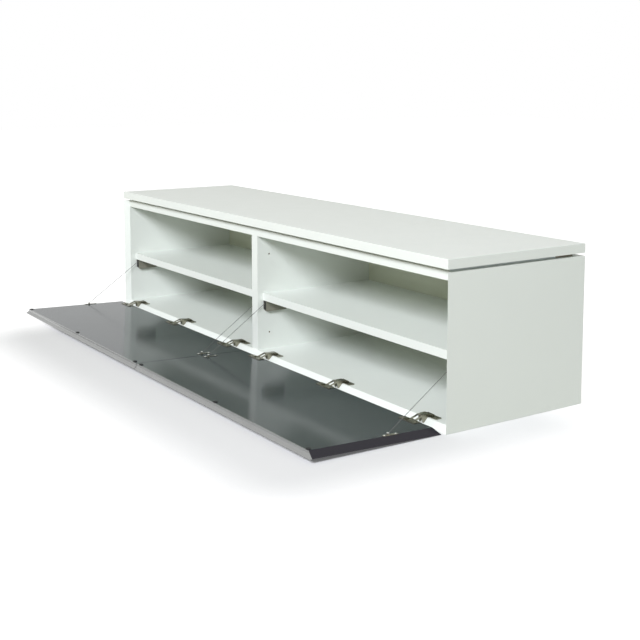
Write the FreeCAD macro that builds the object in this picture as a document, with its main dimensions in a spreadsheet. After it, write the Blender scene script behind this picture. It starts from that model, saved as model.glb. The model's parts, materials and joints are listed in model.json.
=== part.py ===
"""Wall-hung media console with two drop-down flaps, as a parametric document.

Every piece is drawn in one frame in millimetres: X runs along the console and
is zero at its middle, Y is zero on the front plane and grows towards the wall,
Z is zero on the underside.  The flap pieces are drawn as they stand when the
flap is shut.  Each Placement then moves a piece to mid depth, and swings a
flap piece about the flap's axis to the open position.
"""
import FreeCAD, Part
import math
import os
import Sketcher
from FreeCAD import Vector

SIZES = [
    ("overall_length", 1800),
    ("carcass_depth", 448),
    ("carcass_height", 381),
    ("side_thickness", 16),
    ("bottom_thickness", 16),
    ("lid_thickness", 22),
    ("divider_thickness", 32),
    ("board_clearance", 0.1),
    ("top_thickness", 24),
    ("top_edge_radius", 1.2),
    ("shadow_gap", 8),
    ("spacer_inset", 22),
    ("spacer_width", 60),
    ("shelf_thickness", 22),
    ("shelf_underside", 165),
    ("shelf_setback", 36),
    ("shelf_clearance", 0.3),
    ("back_thickness", 3),
    ("back_recess", 18),
    ("groove_depth", 6),
    ("groove_clearance", 0.2),
    ("hanging_rail_height", 80),
    ("wall_hole_diameter", 8),
    ("wall_hole_from_side", 44),
    ("wall_hole_below_lid", 41),
    ("system_hole_diameter", 5),
    ("system_hole_depth", 10),
    ("system_hole_setback", 58),
    ("system_hole_below_lid", 56),
    ("system_hole_above_bottom", 50),
    ("dowel_diameter", 8),
    ("dowel_length", 28),
    ("dowel_clearance", 0.15),
    ("dowel_shift", 3),
    ("foot_dowel_depth", 6),
    ("dowel_front", 150),
    ("dowel_from_rear", 78),
    ("flap_thickness", 15.5),
    ("flap_seat_gap", 2.1),
    ("flap_hinge_gap", 1.5),
    ("flap_end_gap", 6),
    ("flap_meeting_gap", 3),
    ("flap_upper_margin", 18),
    ("axis_in_front", 3.8),
    ("axis_below", 3.3),
    ("open_angle", 88.2),
    ("strip_rim", 1.5),
    ("strip_lip", 7),
    ("pull_radius", 10),
    ("pull_centre_inward", 10.8),
    ("pull_centre_rise", 11),
    ("bumper_diameter", 12),
    ("bumper_thickness", 1.8),
    ("bumper_edge", 6),
    ("bumper_from_meeting", 21),
    ("bumper_from_mitre", 8),
    ("hinge_first", 95),
    ("hinge_from_side", 77),
    ("plate_length", 64),
    ("plate_width", 18),
    ("plate_thickness", 2),
    ("plate_setback", 21),
    ("plate_corner_radius", 3),
    ("screw_spacing", 46),
    ("screw_hole_diameter", 4),
    ("bracket_width", 18),
    ("bracket_wall", 1.5),
    ("bracket_height", 6),
    ("bracket_shoulder", 2.5),
    ("bracket_depth", 15),
    ("bracket_channel", 11),
    ("bracket_crown", 3.5),
    ("arm_pivot_setback", 27),
    ("arm_pivot_height", 21),
    ("knee_in_front", 2),
    ("knee_height", 24),
    ("arm_width", 14),
    ("arm_wall", 1.5),
    ("arm_height", 5),
    ("cheek_heel", 17.5),
    ("cheek_rear", 5),
    ("cheek_front", 1),
    ("cheek_low", 6.5),
    ("pin_diameter", 3),
    ("pin_clearance", 0.3),
    ("side_clearance", 0.5),
    ("link_wall", 1.5),
    ("link_height", 4.4),
    ("link_slot", 22),
    ("leaf_length", 60),
    ("leaf_width", 19),
    ("leaf_thickness", 2),
    ("leaf_from_edge", 2),
    ("leaf_strip", 1.7),
    ("leaf_corner", 1.5),
    ("leaf_cheek", 1.5),
    ("leaf_cheek_depth", 5.9),
    ("leaf_cheek_step", 1),
    ("leaf_cheek_slope", 5.2),
    ("leaf_cheek_rear", 1.3),
    ("leaf_pivot_rise", 10),
    ("leaf_pivot_depth", 3.5),
    ("recess_depth", 6.2),
    ("stay_width", 9),
    ("stay_height", 34),
    ("stay_depth", 75),
    ("stay_setback", 38),
    ("stay_corner_radius", 6),
    ("stay_front_depth", 3),
    ("wire_exit_drop", 11),
    ("wire_diameter", 1.6),
    ("fitting_from_edge", 128),
    ("fitting_width", 7),
    ("fitting_length", 42),
    ("fitting_beyond", 15),
    ("fitting_base", 1.2),
    ("fitting_post_diameter", 5),
    ("fitting_post_height", 4.5),
]

WORKED_OUT = [
    ("half_length", "=overall_length / 2"),
    ("inner_half", "=half_length - side_thickness"),
    ("divider_half", "=divider_thickness / 2"),
    ("front_setback", "=flap_thickness + flap_seat_gap"),
    ("lid_underside", "=carcass_height - lid_thickness"),
    ("back_rear", "=carcass_depth - back_recess"),
    ("back_front", "=back_rear - back_thickness"),
    ("shelf_middle", "=shelf_underside + shelf_thickness / 2"),
    ("wall_hole_outer", "=inner_half - wall_hole_from_side"),
    ("wall_hole_inner", "=wall_hole_outer / 3"),
    ("wall_hole_height", "=lid_underside - wall_hole_below_lid"),
    ("system_hole_upper", "=lid_underside - system_hole_below_lid"),
    ("system_hole_lower", "=bottom_thickness + system_hole_above_bottom"),
    ("dowel_rear", "=carcass_depth - dowel_from_rear"),
    ("dowel_half", "=dowel_length / 2"),
    ("dowel_hole", "=dowel_diameter + 2 * dowel_clearance"),
    ("spacer_rear", "=carcass_depth - spacer_inset"),
    ("spacer_end", "=half_length - spacer_inset"),
    ("flap_inner_edge", "=flap_hinge_gap + flap_thickness"),
    ("flap_top", "=carcass_height - flap_upper_margin - strip_rim"),
    ("flap_end", "=half_length - flap_end_gap"),
    ("flap_meeting", "=flap_meeting_gap / 2"),
    ("bumper_height", "=flap_top + strip_rim - bumper_edge"),
    ("hinge_spacing", "=(inner_half - hinge_from_side - hinge_first) / 2"),
    ("leaf_low", "=flap_inner_edge + leaf_from_edge"),
    ("leaf_high", "=leaf_low + leaf_width"),
    ("link_inside", "=arm_width + 2 * side_clearance"),
    ("link_width", "=link_inside + 2 * link_wall"),
    ("leaf_mouth", "=link_width + 2 * side_clearance"),
    ("leaf_throat", "=leaf_mouth + 2 * leaf_cheek"),
    ("leaf_pivot_z", "=flap_inner_edge + leaf_pivot_rise"),
    ("leaf_pivot_y", "=flap_thickness - leaf_pivot_depth"),
    ("recess_high", "=leaf_high - leaf_strip - pin_clearance"),
    ("recess_width", "=leaf_throat + 2 * groove_clearance"),
    ("fitting_height", "=flap_inner_edge + fitting_from_edge"),
    ("fitting_top", "=flap_thickness + fitting_base + fitting_post_height"),
    ("stay_inner", "=divider_half + stay_width / 2"),
    ("stay_outer", "=inner_half - stay_width / 2 - flap_end_gap / 2"),
    ("plate_top", "=bottom_thickness + plate_thickness"),
    ("swing_cos", "=cos(open_angle * 1 deg)"),
    ("swing_sin", "=sin(open_angle * 1 deg)"),
    ("swing_y", "=-axis_in_front + axis_in_front * swing_cos - axis_below * swing_sin"),
    ("swing_z", "=-axis_below + axis_in_front * swing_sin + axis_below * swing_cos"),
    ("link_pivot_y", "=leaf_pivot_y * swing_cos - leaf_pivot_z * swing_sin + swing_y"),
    ("link_pivot_z", "=leaf_pivot_y * swing_sin + leaf_pivot_z * swing_cos + swing_z"),
    ("knee_y", "=-knee_in_front"),
    ("link_run_y", "=knee_y - link_pivot_y"),
    ("link_run_z", "=knee_height - link_pivot_z"),
    ("link_reach", "=sqrt(link_run_y ^ 2 + link_run_z ^ 2)"),
    ("link_cos", "=link_run_y / link_reach"),
    ("link_sin", "=link_run_z / link_reach"),
    ("link_block", "=link_reach - link_slot"),
    ("wire_exit_z", "=shelf_underside - wire_exit_drop"),
    ("fitting_eye", "=fitting_top - wire_diameter"),
    ("wire_end_y", "=fitting_eye * swing_cos - fitting_height * swing_sin + swing_y"),
    ("wire_end_z", "=fitting_eye * swing_sin + fitting_height * swing_cos + swing_z"),
]

HANDS = (("left", -1), ("right", 1))
HINGES = ("first", "second", "third")
FIRST_GUESS = 100
AXIS_ROTATION = {
    "X": FreeCAD.Rotation(Vector(0, 1, 0), 90),
    "Y": FreeCAD.Rotation(Vector(1, 0, 0), -90),
    "Z": FreeCAD.Rotation(),
}

doc = FreeCAD.newDocument("MediaConsole")
sheet = doc.addObject("Spreadsheet::Sheet", "Sizes")
nodes = []


def fill_sheet():
    """Write the driving sizes and what follows from them into the sheet."""
    for row, (alias, value) in enumerate(SIZES + WORKED_OUT, start=1):
        cell = "A%d" % row
        sheet.set(cell, str(value))
        sheet.setAlias(cell, alias)
    doc.recompute()


def bind(target, path, expression):
    """Tie a property to a formula, where a word starting with @ is a sheet alias."""
    target.setExpression(path, expression.replace("@", "Sizes."))


def sketch_on(body, plane, offset="0"):
    """Return a sketch on one of the body's origin planes, moved along its normal."""
    sketch = body.newObject("Sketcher::SketchObject", body.Name + "Sketch")
    origin_plane = [part for part in body.Origin.OriginFeatures if part.Role == plane][0]
    sketch.AttachmentSupport = [(origin_plane, "")]
    sketch.MapMode = "FlatFace"
    bind(sketch, "AttachmentOffset.Base.z", offset)
    return sketch


def place_point(sketch, geometry, point, across, up):
    """Fix one sketch point to two formulas measured from the sketch's origin."""
    for kind, expression in (("DistanceX", across), ("DistanceY", up)):
        rule = Sketcher.Constraint(kind, -1, 1, geometry, point, FIRST_GUESS)
        index = sketch.addConstraint(rule)
        bind(sketch, "Constraints[%d]" % index, expression)


def outline(sketch, corners):
    """Draw a closed loop of straight lines through corners given as formulas."""
    count = len(corners)
    first = sketch.GeometryCount
    turn = 2 * math.pi / count
    start = [Vector(math.cos(turn * i), math.sin(turn * i), 0) * FIRST_GUESS for i in range(count)]
    for i in range(count):
        sketch.addGeometry(Part.LineSegment(start[i], start[(i + 1) % count]), False)
    for i in range(count):
        following = first + (i + 1) % count
        sketch.addConstraint(Sketcher.Constraint("Coincident", first + i, 2, following, 1))
    for i, (across, up) in enumerate(corners):
        place_point(sketch, first + i, 1, across, up)


def circle(sketch, across, up, diameter):
    """Draw a circle whose centre and diameter are formulas."""
    index = sketch.addGeometry(Part.Circle(Vector(), Vector(0, 0, 1), FIRST_GUESS / 2), False)
    rule = sketch.addConstraint(Sketcher.Constraint("Diameter", index, FIRST_GUESS))
    bind(sketch, "Constraints[%d]" % rule, diameter)
    place_point(sketch, index, 3, across, up)


def rectangle(left, right, low, high):
    """Return the corners of an upright rectangle."""
    return [(left, low), (right, low), (right, high), (left, high)]


def new_body(name):
    """Return an empty body."""
    return doc.addObject("PartDesign::Body", name)


def pad(body, sketch, length, reverse=False):
    """Grow a sketch into a solid."""
    feature = body.newObject("PartDesign::Pad", body.Name + "Pad")
    feature.Profile = sketch
    feature.Reversed = reverse
    bind(feature, "Length", length)
    sketch.Visibility = False
    return feature


def pocket(body, sketch, depth=None, reverse=False):
    """Cut a sketch out of the body, through all of it both ways if depth is None."""
    feature = body.newObject("PartDesign::Pocket", body.Name + "Pocket")
    feature.Profile = sketch
    feature.Reversed = reverse
    sketch.Visibility = False
    if depth is None:
        feature.Type = "ThroughAll"
        feature.SideType = "Symmetric"
    else:
        bind(feature, "Length", depth)
    return feature


def rounded(body, feature, edges, radius):
    """Round some edges of a body's feature, picked by a test on the edge's box."""
    doc.recompute()
    names = ["Edge%d" % (i + 1) for i, edge in enumerate(feature.Shape.Edges) if edges(edge.BoundBox)]
    fillet = body.newObject("PartDesign::Fillet", body.Name + "Fillet")
    fillet.Base = (feature, names)
    bind(fillet, "Radius", radius)
    doc.recompute()
    return fillet


def box(name, near, size):
    """Return a box from its near corner and its size, both as formulas."""
    solid = doc.addObject("Part::Box", name)
    for axis, expression in zip("xyz", near):
        bind(solid, "Placement.Base." + axis, expression)
    for side, expression in zip(("Length", "Width", "Height"), size):
        bind(solid, side, expression)
    return solid


def rod(name, axis, start, length, diameter):
    """Return a cylinder along X, Y or Z from the centre of its first face."""
    solid = doc.addObject("Part::Cylinder", name)
    solid.Placement = FreeCAD.Placement(Vector(), AXIS_ROTATION[axis])
    for letter, expression in zip("xyz", start):
        bind(solid, "Placement.Base." + letter, expression)
    bind(solid, "Height", length)
    bind(solid, "Radius", "(%s) / 2" % diameter)
    return solid


def joined(name, solids):
    """Return one solid fused from several."""
    union = doc.addObject("Part::MultiFuse", name)
    union.Shapes = solids
    return union


def drilled(name, base, tools):
    """Return a solid with several others cut from it."""
    group = doc.addObject("Part::Compound", name + "Cutters")
    group.Links = tools
    cut = doc.addObject("Part::Cut", name)
    cut.Base = base
    cut.Tool = group
    return cut


def grouped(name, solids):
    """Return separate solids kept together as one piece of the list."""
    group = doc.addObject("Part::Compound", name)
    group.Links = solids
    return group


def register(item, label, swings=False):
    """Name a finished piece, move it to mid depth and swing it if it rides on a flap."""
    item.Label = label
    shift = "-@carcass_depth / 2"
    if swings:
        rotation = "create(<<rotation>>; create(<<vector>>; 1; 0; 0); @open_angle)"
        base = "create(<<vector>>; 0; @swing_y %s; @swing_z)" % shift
        bind(item, "Placement", "create(<<placement>>; %s; %s)" % (base, rotation))
    else:
        bind(item, "Placement.Base.y", shift)
    nodes.append(item)


def signed(sign, expression):
    """Return a formula mirrored to the left or kept on the right."""
    return "%d * (%s)" % (sign, expression)


def dowel_places():
    """Return the places along the depth where boards are dowelled."""
    return ("@dowel_front", "@dowel_rear")


def make_bottom_panel():
    """Make the bottom panel: mitred at both ends and along its front edge."""
    body = new_body("BottomPanel")
    sketch = sketch_on(body, "XZ_Plane", "-@carcass_depth")
    outline(sketch, [
        ("-@half_length", "0"),
        ("@half_length", "0"),
        ("@inner_half", "@bottom_thickness"),
        ("-@inner_half", "@bottom_thickness"),
    ])
    pad(body, sketch, "@carcass_depth", reverse=False)
    bevel = sketch_on(body, "YZ_Plane")
    outline(bevel, [("0", "0"), ("@bottom_thickness", "@bottom_thickness"), ("0", "@bottom_thickness")])
    pocket(body, bevel)
    for name, sign in HANDS:
        groove = sketch_on(body, "XY_Plane", "@bottom_thickness")
        near = signed(sign, "@divider_half - @groove_depth")
        far = signed(sign, "@half_length")
        outline(groove, rectangle(near, far, "@back_front - @groove_clearance",
                                  "@back_rear + @groove_clearance"))
        pocket(body, groove, "@groove_depth")
    holes = sketch_on(body, "XY_Plane", "@bottom_thickness")
    for place in dowel_places():
        circle(holes, "0", place, "@dowel_hole")
    pocket(body, holes, "@foot_dowel_depth + @dowel_clearance")
    register(body, "bottom_panel")


def make_side_panel(name, sign):
    """Make an end panel: front edge and lower edge mitred, grooved for the back."""
    body = new_body("SidePanel" + name)
    sketch = sketch_on(body, "XY_Plane")
    outline(sketch, [
        (signed(sign, "@half_length"), "0"),
        (signed(sign, "@half_length"), "@carcass_depth"),
        (signed(sign, "@inner_half"), "@carcass_depth"),
        (signed(sign, "@inner_half"), "@side_thickness"),
    ])
    pad(body, sketch, "@carcass_height")
    mitre = sketch_on(body, "XZ_Plane")
    outline(mitre, [
        (signed(sign, "@half_length"), "0"),
        (signed(sign, "@inner_half"), "@bottom_thickness"),
        (signed(sign, "@inner_half"), "0"),
    ])
    pocket(body, mitre)
    inner_face = signed(sign, "@inner_half")
    groove = sketch_on(body, "YZ_Plane", inner_face)
    outline(groove, rectangle("@back_front - @groove_clearance", "@back_rear + @groove_clearance",
                              "@bottom_thickness - @groove_depth", "@lid_underside + @groove_depth"))
    pocket(body, groove, "@groove_depth", reverse=sign > 0)
    holes = sketch_on(body, "YZ_Plane", inner_face)
    for place in dowel_places():
        circle(holes, place, "@shelf_middle", "@dowel_hole")
        circle(holes, place, "@carcass_height - @lid_thickness / 2", "@dowel_hole")
    pocket(body, holes, "@dowel_half - @dowel_shift + @dowel_clearance", reverse=sign > 0)
    register(body, "side_panel_" + name)


def make_lid():
    """Make the carcass top that closes the two bays under the shadow gap."""
    body = new_body("CarcassTop")
    sketch = sketch_on(body, "XY_Plane", "@lid_underside")
    outline(sketch, rectangle("-@inner_half", "@inner_half", "@front_setback", "@carcass_depth"))
    pad(body, sketch, "@lid_thickness")
    for name, sign in HANDS:
        groove = sketch_on(body, "XY_Plane", "@lid_underside")
        near = signed(sign, "@divider_half - @groove_depth")
        far = signed(sign, "@inner_half")
        outline(groove, rectangle(near, far, "@back_front - @groove_clearance",
                                  "@back_rear + @groove_clearance"))
        pocket(body, groove, "@groove_depth", reverse=True)
        holes = sketch_on(body, "YZ_Plane", signed(sign, "@inner_half"))
        for place in dowel_places():
            circle(holes, place, "@carcass_height - @lid_thickness / 2", "@dowel_hole")
        pocket(body, holes, "@dowel_half + @dowel_shift + @dowel_clearance", reverse=sign < 0)
    register(body, "carcass_top")


def make_divider():
    """Make the thick middle partition with its grooves, dowel and system holes."""
    body = new_body("CentreDivider")
    sketch = sketch_on(body, "XY_Plane", "@bottom_thickness")
    outline(sketch, rectangle("-@divider_half", "@divider_half", "@front_setback", "@carcass_depth"))
    pad(body, sketch, "@lid_underside - @bottom_thickness")
    for name, sign in HANDS:
        face = signed(sign, "@divider_half")
        groove = sketch_on(body, "YZ_Plane", face)
        outline(groove, rectangle("@back_front - @groove_clearance", "@back_rear + @groove_clearance",
                                  "@bottom_thickness", "@lid_underside"))
        pocket(body, groove, "@groove_depth", reverse=sign < 0)
        holes = sketch_on(body, "YZ_Plane", face)
        for place in dowel_places():
            circle(holes, place, "@shelf_middle", "@dowel_hole")
        pocket(body, holes, "@dowel_half - @dowel_shift + @dowel_clearance", reverse=sign < 0)
        system = sketch_on(body, "YZ_Plane", face)
        for height in ("@system_hole_upper", "@system_hole_lower"):
            circle(system, "@system_hole_setback", height, "@system_hole_diameter")
        pocket(body, system, "@system_hole_depth", reverse=sign < 0)
    feet = sketch_on(body, "XY_Plane", "@bottom_thickness")
    for place in dowel_places():
        circle(feet, "0", place, "@dowel_hole")
    pocket(body, feet, "@dowel_length - @foot_dowel_depth + @dowel_clearance", reverse=True)
    register(body, "centre_divider")


def make_shelf(name, sign):
    """Make a fixed shelf, dowelled at both ends."""
    body = new_body("Shelf" + name)
    sketch = sketch_on(body, "XY_Plane", "@shelf_underside")
    outline(sketch, rectangle(
        signed(sign, "@divider_half + @board_clearance"),
        signed(sign, "@inner_half - @board_clearance"),
        "@shelf_setback", "@back_front - @shelf_clearance"))
    pad(body, sketch, "@shelf_thickness")
    for inner, face in ((True, "@divider_half + @board_clearance"),
                        (False, "@inner_half - @board_clearance")):
        holes = sketch_on(body, "YZ_Plane", signed(sign, face))
        for place in dowel_places():
            circle(holes, place, "@shelf_middle", "@dowel_hole")
        pocket(body, holes, "@dowel_half + @dowel_shift + @dowel_clearance", reverse=(sign > 0) == inner)
    register(body, "shelf_" + name)


def make_shelf_dowels(name, sign):
    """Make the four dowels that carry one shelf."""
    dowels = []
    for face, inward in (("@divider_half", 1), ("@inner_half", -1)):
        for place in dowel_places():
            outer = "%s - %d * (@dowel_half - @dowel_shift)" % (face, inward)
            inner = "%s + %d * (@dowel_half + @dowel_shift)" % (face, inward)
            low = outer if inward * sign > 0 else inner
            start = (signed(sign, low), place, "@shelf_middle")
            dowels.append(rod("ShelfDowel", "X", start, "@dowel_length", "@dowel_diameter"))
    register(grouped("ShelfDowels" + name, dowels), "shelf_dowels_" + name)


def make_carcass_dowels():
    """Make the dowels between the lid and the end panels and under the divider."""
    dowels = []
    height = "@carcass_height - @lid_thickness / 2"
    for place in dowel_places():
        for name, sign in HANDS:
            near = "@inner_half %s @dowel_half - @dowel_shift" % ("-" if sign > 0 else "+")
            start = (signed(sign, near), place, height)
            dowels.append(rod("LidDowel", "X", start, "@dowel_length", "@dowel_diameter"))
        foot = "@bottom_thickness - @foot_dowel_depth"
        dowels.append(rod("FootDowel", "Z", ("0", place, foot), "@dowel_length", "@dowel_diameter"))
    register(grouped("CarcassDowels", dowels), "carcass_dowels")


def make_back_panel(name, sign):
    """Make a thin back panel held in grooves all round, drilled for the wall screws."""
    body = new_body("BackPanel" + name)
    sketch = sketch_on(body, "XZ_Plane", "-@back_rear")
    outline(sketch, rectangle(
        signed(sign, "@divider_half - @groove_depth + @groove_clearance"),
        signed(sign, "@inner_half + @groove_depth - @groove_clearance"),
        "@bottom_thickness - @groove_depth + @groove_clearance",
        "@lid_underside + @groove_depth - @groove_clearance"))
    pad(body, sketch, "@back_thickness")
    holes = sketch_on(body, "XZ_Plane", "-@back_rear")
    for place in ("@wall_hole_inner", "@wall_hole_outer"):
        circle(holes, signed(sign, place), "@wall_hole_height", "@wall_hole_diameter")
    pocket(body, holes)
    register(body, "back_panel_" + name)


def make_hanging_rail(name, sign):
    """Make the batten behind the back panel that takes the wall screws."""
    body = new_body("HangingRail" + name)
    sketch = sketch_on(body, "XZ_Plane", "-@carcass_depth")
    outline(sketch, rectangle(
        signed(sign, "@divider_half + @board_clearance"),
        signed(sign, "@inner_half - @board_clearance"),
        "@lid_underside - @hanging_rail_height", "@lid_underside - @board_clearance"))
    pad(body, sketch, "@back_recess - @groove_clearance")
    holes = sketch_on(body, "XZ_Plane", "-@carcass_depth")
    for place in ("@wall_hole_inner", "@wall_hole_outer"):
        circle(holes, signed(sign, place), "@wall_hole_height", "@wall_hole_diameter")
    pocket(body, holes)
    register(body, "hanging_rail_" + name)


def make_top_panel():
    """Make the top board, its upper edges eased all round."""
    body = new_body("TopPanel")
    sketch = sketch_on(body, "XY_Plane", "@carcass_height + @shadow_gap")
    outline(sketch, rectangle("-@half_length", "@half_length", "0", "@carcass_depth"))
    board = pad(body, sketch, "@top_thickness")
    doc.recompute()
    height = board.Shape.BoundBox.ZMax
    rounded(body, board, lambda place: place.ZMin > height - 1, "@top_edge_radius")
    register(body, "top_panel")


def make_spacers():
    """Make the set-back battens that leave the shadow gap under the top board."""
    deep = "@spacer_rear - @spacer_inset - 2 * @spacer_width"
    long_start = "-@spacer_end"
    places = {
        "spacer_front": ((long_start, "@spacer_inset"), ("2 * @spacer_end", "@spacer_width")),
        "spacer_rear": ((long_start, "@spacer_rear - @spacer_width"),
                        ("2 * @spacer_end", "@spacer_width")),
        "spacer_left": ((long_start, "@spacer_inset + @spacer_width"), ("@spacer_width", deep)),
        "spacer_centre": (("-@spacer_width / 2", "@spacer_inset + @spacer_width"),
                          ("@spacer_width", deep)),
        "spacer_right": (("@spacer_end - @spacer_width", "@spacer_inset + @spacer_width"),
                         ("@spacer_width", deep)),
    }
    for label, (near, size) in places.items():
        body = new_body(label.title().replace("_", ""))
        sketch = sketch_on(body, "XY_Plane", "@carcass_height")
        outline(sketch, rectangle(near[0], "%s + %s" % (near[0], size[0]),
                                  near[1], "%s + %s" % (near[1], size[1])))
        pad(body, sketch, "@shadow_gap")
        register(body, label)


def cut_flap_end(body, sign):
    """Mitre a flap piece at the console's end."""
    mitre = sketch_on(body, "XY_Plane")
    outline(mitre, [
        (signed(sign, "@flap_end"), "0"),
        (signed(sign, "@flap_end + @flap_thickness"), "0"),
        (signed(sign, "@flap_end + @flap_thickness"), "@flap_thickness"),
        (signed(sign, "@flap_end - @flap_thickness"), "@flap_thickness"),
    ])
    pocket(body, mitre)


def hinge_place(index, sign):
    """Return the place of one hinge along the console."""
    return signed(sign, "@hinge_first + %d * @hinge_spacing" % index)


def make_flap_panel(name, sign):
    """Make a flap: mitred along the hinge edge and at the end, recessed for the hinges."""
    body = new_body("FlapPanel" + name)
    near = "@flap_meeting" if sign > 0 else "-@flap_end"
    sketch = sketch_on(body, "YZ_Plane", near)
    outline(sketch, [
        ("0", "@flap_hinge_gap"),
        ("@flap_thickness", "@flap_inner_edge"),
        ("@flap_thickness", "@flap_top"),
        ("0", "@flap_top"),
    ])
    pad(body, sketch, "@flap_end - @flap_meeting")
    cut_flap_end(body, sign)
    for index in range(len(HINGES)):
        left = hinge_place(index, sign) + " - @recess_width / 2"
        recess = sketch_on(body, "YZ_Plane", left)
        outline(recess, rectangle("@flap_thickness - @recess_depth", "2 * @flap_thickness",
                                  "@flap_hinge_gap", "@recess_high"))
        pocket(body, recess, "@recess_width", reverse=True)
    register(body, "flap_panel_" + name, swings=True)


def make_handle_strip(name, sign):
    """Make the extruded finger pull along the free edge of a flap."""
    body = new_body("HandleStrip" + name)
    near = "@flap_meeting" if sign > 0 else "-@flap_end"
    sketch = sketch_on(body, "YZ_Plane", near)
    outline(sketch, [
        ("0", "@flap_top"),
        ("@flap_thickness", "@flap_top"),
        ("@flap_thickness", "@flap_top + @strip_rim"),
        ("0", "@flap_top + @strip_lip"),
    ])
    pad(body, sketch, "@flap_end - @flap_meeting")
    groove = sketch_on(body, "YZ_Plane")
    circle(groove, "@pull_centre_inward", "@flap_top + @pull_centre_rise", "2 * @pull_radius")
    pocket(body, groove)
    cut_flap_end(body, sign)
    register(body, "handle_strip_" + name, swings=True)


def make_bumpers(name, sign):
    """Make the three rubber dots that soften the flap against the carcass top."""
    dots = []
    for place in ("@bumper_from_meeting", "@hinge_first + @hinge_spacing",
                  "@flap_end - @flap_thickness - @bumper_from_mitre"):
        start = (signed(sign, place), "@flap_thickness", "@bumper_height")
        dots.append(rod("Bumper", "Y", start, "@bumper_thickness", "@bumper_diameter"))
    register(grouped("Bumpers" + name, dots), "bumpers_" + name, swings=True)


def make_mounting_plate(index, name, sign):
    """Make the winged plate that is screwed to the bottom panel."""
    place = hinge_place(index, sign)
    body = new_body("MountingPlate%s%s" % (name, HINGES[index]))
    sketch = sketch_on(body, "XY_Plane", "@bottom_thickness")
    outline(sketch, rectangle("%s - @plate_length / 2" % place, "%s + @plate_length / 2" % place,
                              "@plate_setback", "@plate_setback + @plate_width"))
    plate = pad(body, sketch, "@plate_thickness")
    rounded(body, plate, lambda edge: edge.ZLength > 1, "@plate_corner_radius")
    holes = sketch_on(body, "XY_Plane", "@plate_top")
    for side in ("-", "+"):
        circle(holes, "%s %s @screw_spacing / 2" % (place, side),
               "@plate_setback + @plate_width / 2", "@screw_hole_diameter")
    pocket(body, holes, "@plate_thickness")
    return body


def make_bracket(index, name, sign):
    """Make the fork on the mounting plate that carries the swinging arm."""
    place = hinge_place(index, sign)
    body = new_body("Bracket%s%s" % (name, HINGES[index]))
    sketch = sketch_on(body, "YZ_Plane", "%s - @bracket_width / 2" % place)
    shoulder = "@plate_top + @bracket_shoulder"
    crown = "@plate_top + @bracket_height"
    outline(sketch, [
        ("@plate_setback", "@plate_top"),
        ("@plate_setback + @bracket_depth", "@plate_top"),
        ("@plate_setback + @bracket_depth", shoulder),
        ("@arm_pivot_setback + @bracket_crown", crown),
        ("@arm_pivot_setback - @bracket_crown", crown),
        ("@plate_setback", shoulder),
    ])
    pad(body, sketch, "@bracket_width")
    channel = sketch_on(body, "XY_Plane", "@plate_top")
    half = "(@bracket_width / 2 - @bracket_wall)"
    outline(channel, rectangle("%s - %s" % (place, half), "%s + %s" % (place, half),
                               "0", "@plate_setback + @bracket_channel"))
    pocket(body, channel, "2 * @bracket_height", reverse=True)
    pivot = sketch_on(body, "YZ_Plane")
    circle(pivot, "@arm_pivot_setback", "@arm_pivot_height", "@pin_diameter")
    pocket(body, pivot)
    return body


def make_swing_arm(index, name, sign):
    """Make the pressed arm whose cheeks dip into the mitre between bracket and knee."""
    place = hinge_place(index, sign)
    tag = "%s%s" % (name, HINGES[index])
    left = "%s - @arm_width / 2" % place
    plate = new_body("ArmPlate" + tag)
    side = sketch_on(plate, "YZ_Plane", left)
    half = "@arm_height / 2"
    outline(side, [
        ("@arm_pivot_setback", "@arm_pivot_height - " + half),
        ("@arm_pivot_setback", "@arm_pivot_height + " + half),
        ("@knee_y", "@knee_height + " + half),
        ("@knee_y", "@knee_height - " + half),
        ("@cheek_front", "@cheek_low"),
        ("@cheek_rear", "@cheek_low"),
        ("@cheek_heel", "@arm_pivot_height - " + half),
    ])
    pad(plate, side, "@arm_width")
    eyes = [rod("ArmEye" + tag, "X", (left, y, z), "@arm_width", "@arm_height")
            for y, z in (("@arm_pivot_setback", "@arm_pivot_height"), ("@knee_y", "@knee_height"))]
    solid = joined("ArmSolid" + tag, [plate] + eyes)
    inside = new_body("ArmInside" + tag)
    hollow = sketch_on(inside, "YZ_Plane", left + " + @arm_wall")
    outline(hollow, [
        ("@arm_pivot_setback + @arm_height", "@cheek_low - @arm_height"),
        ("@arm_pivot_setback + @arm_height", "@arm_pivot_height + %s - @arm_wall" % half),
        ("@knee_y - @arm_height", "@knee_height + %s - @arm_wall" % half),
        ("@knee_y - @arm_height", "@cheek_low - @arm_height"),
    ])
    pad(inside, hollow, "@arm_width - 2 * @arm_wall")
    bores = [
        rod("ArmBore" + tag, "X", (left, "@arm_pivot_setback", "@arm_pivot_height"), "@arm_width",
            "@pin_diameter + @pin_clearance"),
        rod("ArmBore" + tag, "X", (left, "@knee_y", "@knee_height"), "@arm_width",
            "@pin_diameter"),
    ]
    return drilled("SwingArm" + tag, solid, [inside] + bores)


def along_link(along, across):
    """Return a point given along and across the line from the leaf pivot to the knee."""
    return ("@link_pivot_y + (%s) * @link_cos - (%s) * @link_sin" % (along, across),
            "@link_pivot_z + (%s) * @link_sin + (%s) * @link_cos" % (along, across))


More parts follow.
